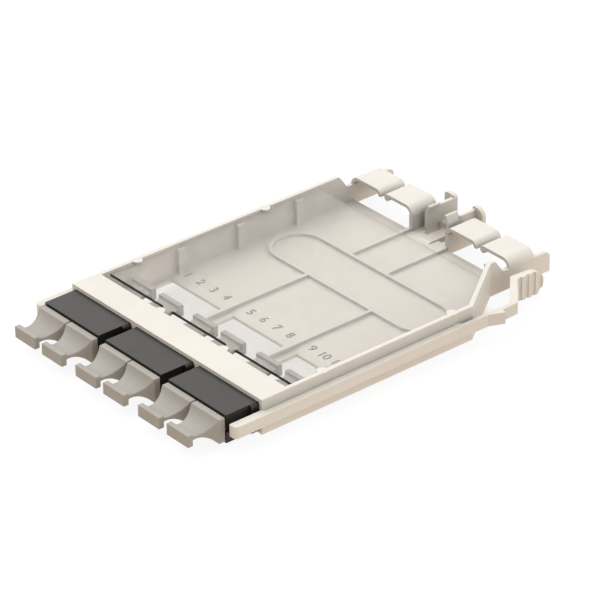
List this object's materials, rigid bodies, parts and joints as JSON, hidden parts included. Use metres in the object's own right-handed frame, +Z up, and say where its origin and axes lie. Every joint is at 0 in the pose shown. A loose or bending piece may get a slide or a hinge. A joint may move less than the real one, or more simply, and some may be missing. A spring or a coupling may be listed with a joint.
{
  "type": "fibre patch cassette",
  "caption": "Slim sliding fibre patch cassette: shallow tray under a clear lid, duplex port adapters with dust plugs in front, cable hooks behind, side latch",
  "frame": {"origin": "middle of the outline seen from above, on the plane that the base rests on", "axes": "+X to the right seen from the port side, +Y from the ports to the cable side, +Z up through the clear lid"},
  "size_m": [0.0962, 0.1512, 0.0115],
  "materials": {
    "ivory_plastic": "fine satin moulded ABS",
    "clear_cover": "clear polycarbonate sheet",
    "adapter_plastic": "dark grey moulded plastic",
    "plug_plastic": "warm grey soft plastic",
    "ceramic": "polished white ceramic"
  },
  "bodies": {
    "module": {"tray_body": "ivory_plastic", "clear_cover": "clear_cover", "adapter_front_1": "adapter_plastic", "adapter_front_2": "adapter_plastic", "adapter_front_3": "adapter_plastic", "adapter_rear_1": "adapter_plastic", "adapter_rear_2": "adapter_plastic", "adapter_rear_3": "adapter_plastic", "sleeve_1": "ceramic", "sleeve_2": "ceramic", "sleeve_3": "ceramic", "sleeve_4": "ceramic", "sleeve_5": "ceramic", "sleeve_6": "ceramic", "sleeve_7": "ceramic", "sleeve_8": "ceramic", "sleeve_9": "ceramic", "sleeve_10": "ceramic", "sleeve_11": "ceramic", "sleeve_12": "ceramic"},
    "latch": {"latch_arm": "ivory_plastic"},
    "front_plug_1_body": {"front_plug_1": "plug_plastic"},
    "front_plug_2_body": {"front_plug_2": "plug_plastic"},
    "front_plug_3_body": {"front_plug_3": "plug_plastic"},
    "front_plug_4_body": {"front_plug_4": "plug_plastic"},
    "front_plug_5_body": {"front_plug_5": "plug_plastic"},
    "front_plug_6_body": {"front_plug_6": "plug_plastic"},
    "rear_plug_1_body": {"rear_plug_1": "plug_plastic"},
    "rear_plug_2_body": {"rear_plug_2": "plug_plastic"},
    "rear_plug_3_body": {"rear_plug_3": "plug_plastic"},
    "rear_plug_4_body": {"rear_plug_4": "plug_plastic"},
    "rear_plug_5_body": {"rear_plug_5": "plug_plastic"},
    "rear_plug_6_body": {"rear_plug_6": "plug_plastic"}
  },
  "joints": [
    {"name": "latch_flex", "type": "hinge", "parent": "module", "child": "latch", "pos_m": [0.04455, 0.02245, 0.00632], "axis": [0, 0, 1], "range_deg": [0, 8], "stiffness_Nm_per_rad": 0.5},
    {"name": "front_plug_1_pull", "type": "slide", "parent": "module", "child": "front_plug_1_body", "axis": [0, -1, 0], "range_m": [0, 0.008]},
    {"name": "front_plug_2_pull", "type": "slide", "parent": "module", "child": "front_plug_2_body", "axis": [0, -1, 0], "range_m": [0, 0.008]},
    {"name": "front_plug_3_pull", "type": "slide", "parent": "module", "child": "front_plug_3_body", "axis": [0, -1, 0], "range_m": [0, 0.008]},
    {"name": "front_plug_4_pull", "type": "slide", "parent": "module", "child": "front_plug_4_body", "axis": [0, -1, 0], "range_m": [0, 0.008]},
    {"name": "front_plug_5_pull", "type": "slide", "parent": "module", "child": "front_plug_5_body", "axis": [0, -1, 0], "range_m": [0, 0.008]},
    {"name": "front_plug_6_pull", "type": "slide", "parent": "module", "child": "front_plug_6_body", "axis": [0, -1, 0], "range_m": [0, 0.008]},
    {"name": "rear_plug_1_pull", "type": "slide", "parent": "module", "child": "rear_plug_1_body", "axis": [0, 1, 0], "range_m": [0, 0.008]},
    {"name": "rear_plug_2_pull", "type": "slide", "parent": "module", "child": "rear_plug_2_body", "axis": [0, 1, 0], "range_m": [0, 0.008]},
    {"name": "rear_plug_3_pull", "type": "slide", "parent": "module", "child": "rear_plug_3_body", "axis": [0, 1, 0], "range_m": [0, 0.008]},
    {"name": "rear_plug_4_pull", "type": "slide", "parent": "module", "child": "rear_plug_4_body", "axis": [0, 1, 0], "range_m": [0, 0.008]},
    {"name": "rear_plug_5_pull", "type": "slide", "parent": "module", "child": "rear_plug_5_body", "axis": [0, 1, 0], "range_m": [0, 0.008]},
    {"name": "rear_plug_6_pull", "type": "slide", "parent": "module", "child": "rear_plug_6_body", "axis": [0, 1, 0], "range_m": [0, 0.008]}
  ]
}
